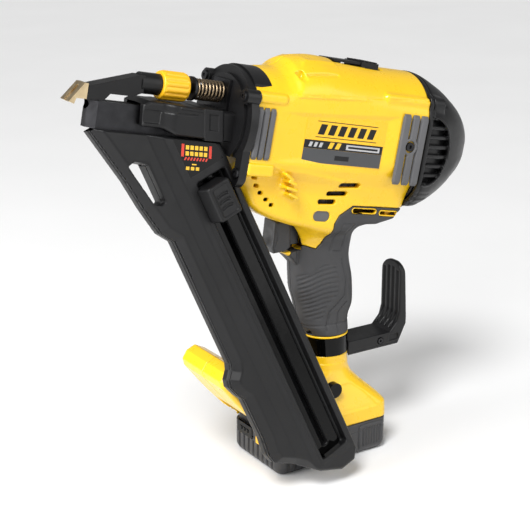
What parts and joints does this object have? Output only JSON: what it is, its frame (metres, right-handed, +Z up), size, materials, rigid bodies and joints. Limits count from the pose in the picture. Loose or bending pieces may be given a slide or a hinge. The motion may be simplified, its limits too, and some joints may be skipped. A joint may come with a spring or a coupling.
{
  "type": "cordless framing nailer",
  "caption": "Cordless angled-magazine nailer with yellow housing, black strip magazine, depth wheel, rafter hook and slide-on battery pack",
  "frame": {"origin": "centre of the battery pack's flat base, on the surface that the tool stands on", "axes": "+X back, away from the nose; +Y to the tool's right side; +Z up"},
  "size_m": [0.3871, 0.1212, 0.356],
  "materials": {
    "housing_yellow": "glossy moulded ABS",
    "grip_rubber": "soft matt overmould with ribs",
    "pad_rubber": "matt ribbed rubber",
    "label": "satin printed plate without lettering",
    "black_plastic": "finely textured glass-filled nylon",
    "gloss_black": "glossy black plastic",
    "cap_black": "semi-gloss black nylon",
    "dark_steel": "blackened steel",
    "bright_steel": "ground steel",
    "foot_steel": "gold zinc-passivated steel",
    "spring_steel": "oil-tempered spring steel",
    "cast_alloy": "as-cast aluminium",
    "copper": "enamelled copper winding",
    "board_green": "coated circuit board",
    "wire_red": "silicone wire",
    "pack_grey": "textured pack casing",
    "cell_blue": "shrink sleeve",
    "knob_yellow": "moulded nylon"
  },
  "bodies": {
    "tool_body": {"housing_left": "housing_yellow", "housing_right": "housing_yellow", "grip_left": "grip_rubber", "grip_right": "grip_rubber", "front_pads": "pad_rubber", "rear_pads": "pad_rubber", "label_plates": "label", "front_flange": "cap_black", "flange_screws": "dark_steel", "rear_cap": "cap_black", "rear_cover": "knob_yellow", "housing_screws": "dark_steel", "drive_chassis": "cast_alloy", "motor_stator": "copper", "flywheel_axle": "bright_steel", "flywheel_bearings": "bright_steel", "guide_rods": "bright_steel", "return_springs": "spring_steel", "driver_bumper": "pad_rubber", "actuator_solenoid": "copper", "control_board": "board_green", "trigger_switch": "black_plastic", "terminal_block": "black_plastic", "wiring_harness": "wire_red", "nose_body": "dark_steel", "nose_cover": "black_plastic", "nose_clip": "black_plastic", "spring_bracket": "dark_steel", "magazine_left": "black_plastic", "magazine_right": "black_plastic", "magazine_wing": "black_plastic", "magazine_rail": "bright_steel", "track_stop": "gloss_black", "magazine_bracket": "black_plastic", "magazine_bolts": "gloss_black", "lever_pin": "bright_steel", "contact_spring": "spring_steel"},
    "flywheel_rotor": {"flywheel": "bright_steel"},
    "driver": {"driver_blade": "bright_steel", "driver_carriage": "cast_alloy"},
    "pinch_lever": {"pinch_arm": "dark_steel"},
    "roller": {"pinch_roller": "bright_steel"},
    "plunger": {"solenoid_plunger": "bright_steel"},
    "trigger_blade": {"trigger": "black_plastic"},
    "lock_off": {"lock_off_button": "pad_rubber"},
    "stall_lever": {"release_lever": "black_plastic"},
    "contact_carrier": {"contact_rod": "dark_steel"},
    "wheel": {"depth_wheel": "knob_yellow"},
    "contact_slider": {"contact_arm": "black_plastic", "contact_foot": "foot_steel"},
    "pusher_unit": {"pusher": "dark_steel", "pusher_knob": "black_plastic"},
    "hook": {"rafter_hook": "black_plastic", "hook_collar": "gloss_black", "hook_screw": "dark_steel"},
    "battery_pack": {"battery_case": "pack_grey", "battery_top": "black_plastic", "battery_cells": "cell_blue", "battery_button": "knob_yellow", "battery_gauge": "gloss_black"}
  },
  "joints": [
    {"name": "flywheel_spin", "type": "hinge", "parent": "tool_body", "child": "flywheel_rotor", "pos_m": [-0.02141, 0, 0.26527], "axis": [0, 1, 0], "continuous": true},
    {"name": "driver_stroke", "type": "slide", "parent": "tool_body", "child": "driver", "axis": [-0.9803, 0, 0.1977], "range_m": [0, 0.097], "stiffness_N_per_m": 60, "springref_m": -0.02, "deforming": ["return_springs"]},
    {"name": "pinch_lever_tilt", "type": "hinge", "parent": "tool_body", "child": "pinch_lever", "pos_m": [0.02778, 0, 0.30686], "axis": [0, -1, 0], "range_deg": [0, 1.8], "stiffness_Nm_per_rad": 1.5, "springref_deg": -5.73},
    {"name": "pinch_roller_spin", "type": "hinge", "parent": "pinch_lever", "child": "roller", "pos_m": [-0.01281, 0, 0.30791], "axis": [0, 1, 0], "continuous": true},
    {"name": "plunger_stroke", "type": "slide", "parent": "tool_body", "child": "plunger", "axis": [-0.1977, 0, -0.9803], "range_m": [0, 0.0009]},
    {"name": "trigger_pull", "type": "slide", "parent": "tool_body", "child": "trigger_blade", "axis": [1, 0, 0], "range_m": [0, 0.005], "stiffness_N_per_m": 1200, "springref_m": -0.003},
    {"name": "lock_off_slide", "type": "slide", "parent": "tool_body", "child": "lock_off", "axis": [0, -1, 0], "range_m": [0, 0.004]},
    {"name": "release_lever_lift", "type": "hinge", "parent": "tool_body", "child": "stall_lever", "pos_m": [0.01706, 0, 0.34473], "axis": [0, -1, 0], "range_deg": [0, 35], "stiffness_Nm_per_rad": 0.02, "springref_deg": -28.65},
    {"name": "contact_trip", "type": "slide", "parent": "tool_body", "child": "contact_carrier", "axis": [0.9803, 0, -0.1977], "range_m": [0, 0.01], "stiffness_N_per_m": 1500, "springref_m": -0.006, "deforming": ["contact_spring"]},
    {"name": "depth_wheel_turn", "type": "hinge", "parent": "contact_carrier", "child": "wheel", "pos_m": [-0.12906, 0, 0.33849], "axis": [-0.9803, 0, 0.1977], "range_deg": [0, 1440]},
    {"name": "depth_slide", "type": "slide", "parent": "contact_carrier", "child": "contact_slider", "axis": [-0.9803, 0, 0.1977], "range_m": [0, 0.006]},
    {"name": "pusher_slide", "type": "slide", "parent": "tool_body", "child": "pusher_unit", "axis": [0.3473, -0.1773, -0.9208], "range_m": [0, 0.215], "stiffness_N_per_m": 25, "springref_m": -0.25},
    {"name": "hook_swivel", "type": "hinge", "parent": "tool_body", "child": "hook", "pos_m": [0.014, 0, 0.1], "axis": [0, 0, 1], "range_deg": [-90, 90]},
    {"name": "battery_slide", "type": "slide", "parent": "tool_body", "child": "battery_pack", "axis": [-1, 0, 0], "range_m": [0, 0.07]}
  ],
  "couplings": [
    {"joint": "depth_slide", "follows": "depth_wheel_turn", "m_per_rad": 0.00023873},
    {"joint": "plunger_stroke", "follows": "pinch_lever_tilt", "m_per_rad": 0.028}
  ]
}
